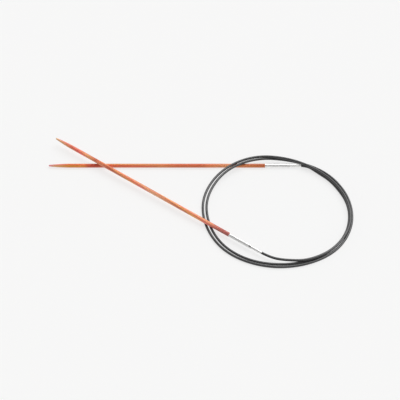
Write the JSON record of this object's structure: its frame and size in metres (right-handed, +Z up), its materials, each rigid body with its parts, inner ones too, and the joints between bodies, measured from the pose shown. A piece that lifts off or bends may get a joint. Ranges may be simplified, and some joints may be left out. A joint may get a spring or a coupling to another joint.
{
  "type": "circular knitting needle",
  "caption": "Thin circular knitting needle: laminated wooden points in plated ferrules that swivel on the ends of a long coiled nylon cable.",
  "frame": {"origin": "on the table under the middle of the two wooden points and their fittings, the cable left out", "axes": "+X along the rear point from its tip to its cable end, +Y across the table from the front of the coil to the back, +Z up from the table"},
  "size_m": [0.1498, 0.0831, 0.0044],
  "materials": {
    "laminated_wood": "lacquered birch laminate, orange and red",
    "plated_metal": "satin nickel plate",
    "bush_brass": "turned",
    "stud_steel": "turned",
    "nylon_cable": "smooth charcoal nylon"
  },
  "bodies": {
    "cable_assembly": {"cable": "nylon_cable", "rear_cable_sleeve": "plated_metal", "rear_swivel_stud": "stud_steel", "front_cable_sleeve": "plated_metal", "front_swivel_stud": "stud_steel"},
    "rear_point": {"rear_shaft": "laminated_wood", "rear_ferrule": "plated_metal", "rear_retaining_bush": "bush_brass"},
    "front_point": {"front_shaft": "laminated_wood", "front_ferrule": "plated_metal", "front_retaining_bush": "bush_brass"}
  },
  "joints": [
    {"name": "rear_swivel", "type": "hinge", "parent": "cable_assembly", "child": "rear_point", "pos_m": [0.0563, 0.0205, 0.001], "axis": [-1, 0, 0], "continuous": true},
    {"name": "front_swivel", "type": "hinge", "parent": "cable_assembly", "child": "front_point", "pos_m": [0.03531, -0.0331, 0.00204], "axis": [-0.8062, 0.5915, 0.0122], "continuous": true}
  ]
}
